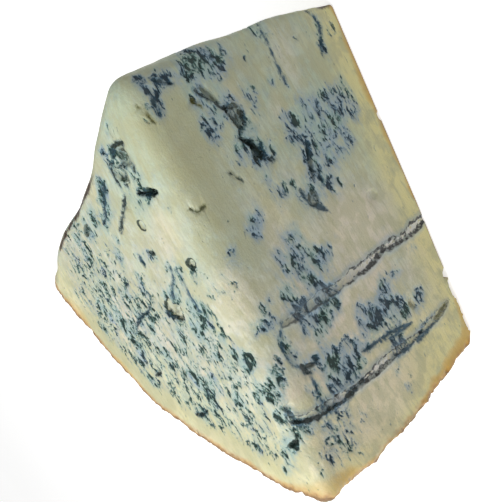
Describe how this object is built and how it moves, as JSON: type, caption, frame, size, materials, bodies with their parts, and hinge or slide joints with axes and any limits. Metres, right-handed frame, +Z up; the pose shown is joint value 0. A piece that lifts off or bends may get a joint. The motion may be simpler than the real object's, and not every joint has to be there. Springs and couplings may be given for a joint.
{
  "type": "blue cheese wedge",
  "caption": "Thick wedge of blue cheese with a level top cut, two upright cuts meeting in a blunt point, open needle channels and a curved rind wall.",
  "frame": {"origin": "centre of the wedge's bounding box, on the flat rind that it rests on", "axes": "+Z up from the flat rind to the level cut, +X towards the blunt point, -X towards the curved rind wall, -Y towards the front upright cut, +Y towards the back one"},
  "size_m": [0.1507, 0.1709, 0.0985],
  "materials": {
    "paste": "moist soft cheese paste, cream to pale yellow, with blue-green mould veins",
    "rind": "rough dry rind, orange-tan to grey-brown"
  },
  "bodies": {
    "root": {"gorgonzola_wedge": "paste"}
  },
  "joints": []
}
